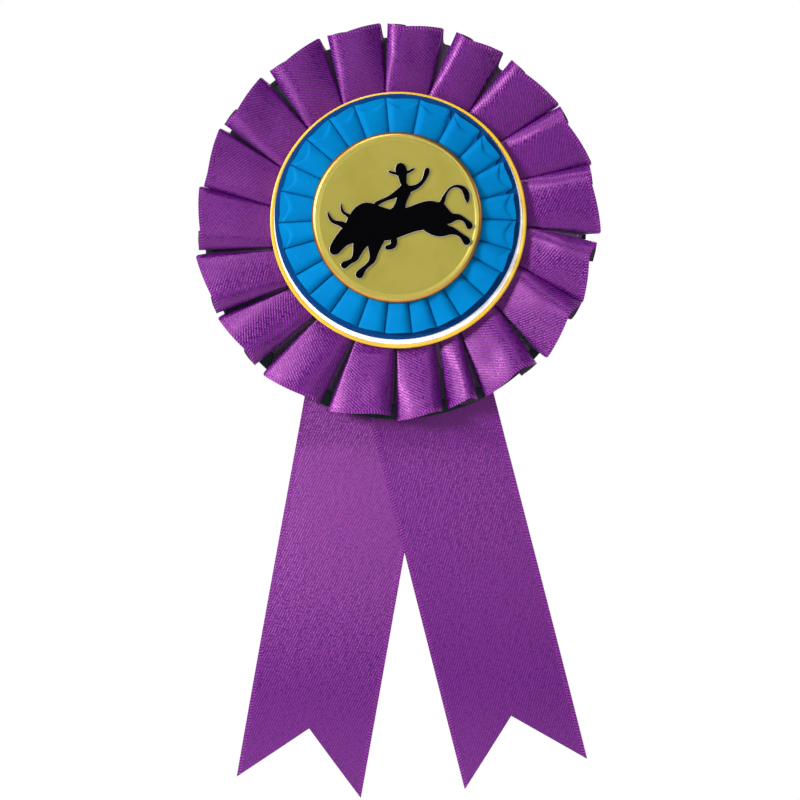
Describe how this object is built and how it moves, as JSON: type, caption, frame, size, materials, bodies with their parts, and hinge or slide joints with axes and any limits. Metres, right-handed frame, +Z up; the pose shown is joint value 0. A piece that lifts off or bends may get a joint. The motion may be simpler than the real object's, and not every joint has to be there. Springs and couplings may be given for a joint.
{
  "type": "award ribbon",
  "caption": "Award rosette with a pleated satin ruffle, a round medal button, two swallowtail streamers and a bar pin on the back.",
  "frame": {"origin": "centre of the back card's rear face, on the rosette's axis", "axes": "+Z up when worn, -Y out of the front of the rosette, +Y into the garment, +X to the right as the front is seen"},
  "size_m": [0.1187, 0.0181, 0.2337],
  "materials": {
    "emblem_black": "semi-gloss black enamel",
    "gold_foil": "satin gold foil, fine brushed grain",
    "gold_metal": "polished gold, rounded rim",
    "foam": "white adhesive foam",
    "blue_ribbon": "pressed blue satin ribbon",
    "navy_card": "smooth coated card",
    "white_card": "smooth coated card",
    "yellow_plastic": "glossy moulded plastic",
    "purple_satin": "double-face satin ribbon, woven selvages",
    "purple_thread": "twisted polyester thread",
    "dark_card": "matt dark green-black card",
    "steel_wire": "flat steel wire",
    "back_board": "matt white board",
    "patch_felt": "white fusible felt",
    "nickel": "bright nickel plate",
    "brass": "bright brass",
    "spring_steel": "drawn spring wire"
  },
  "bodies": {
    "rosette": {"emblem": "emblem_black", "medal_insert": "gold_foil", "medal_bezel": "gold_metal", "medal_pad": "foam", "inner_ruffle": "blue_ribbon", "navy_disc": "navy_card", "white_disc": "white_card", "button_tray": "yellow_plastic", "button_pad": "foam", "purple_ruffle": "purple_satin", "ruffle_stitching": "purple_thread", "pleat_card": "dark_card", "base_disc": "dark_card", "streamer_left_root": "purple_satin", "streamer_right_root": "purple_satin", "staples": "steel_wire", "back_card": "back_board", "pin_patch": "patch_felt", "pin_plate": "nickel", "hinge_rivet": "nickel", "catch_housing": "nickel"},
    "left_streamer": {"streamer_left_tail": "purple_satin"},
    "right_streamer": {"streamer_right_tail": "purple_satin"},
    "needle_arm": {"needle": "spring_steel"},
    "catch": {"catch_rotor": "brass"}
  },
  "joints": [
    {"name": "needle_swing", "type": "hinge", "parent": "rosette", "child": "needle_arm", "pos_m": [-0.0165, 0.003, 0.009], "axis": [0, 0, 1], "range_deg": [0, 70]},
    {"name": "catch_turn", "type": "hinge", "parent": "rosette", "child": "catch", "pos_m": [0.0145, 0.003, 0.009], "axis": [1, 0, 0], "range_deg": [0, 115]},
    {"name": "left_streamer_lift", "type": "hinge", "parent": "rosette", "child": "left_streamer", "pos_m": [-0.01122, -0.0013, -0.06301], "axis": [0.9845, 0, -0.1754], "range_deg": [0, 60]},
    {"name": "right_streamer_lift", "type": "hinge", "parent": "rosette", "child": "right_streamer", "pos_m": [0.01174, -0.0021, -0.06305], "axis": [-0.969, 0, -0.247], "range_deg": [0, 75]}
  ]
}
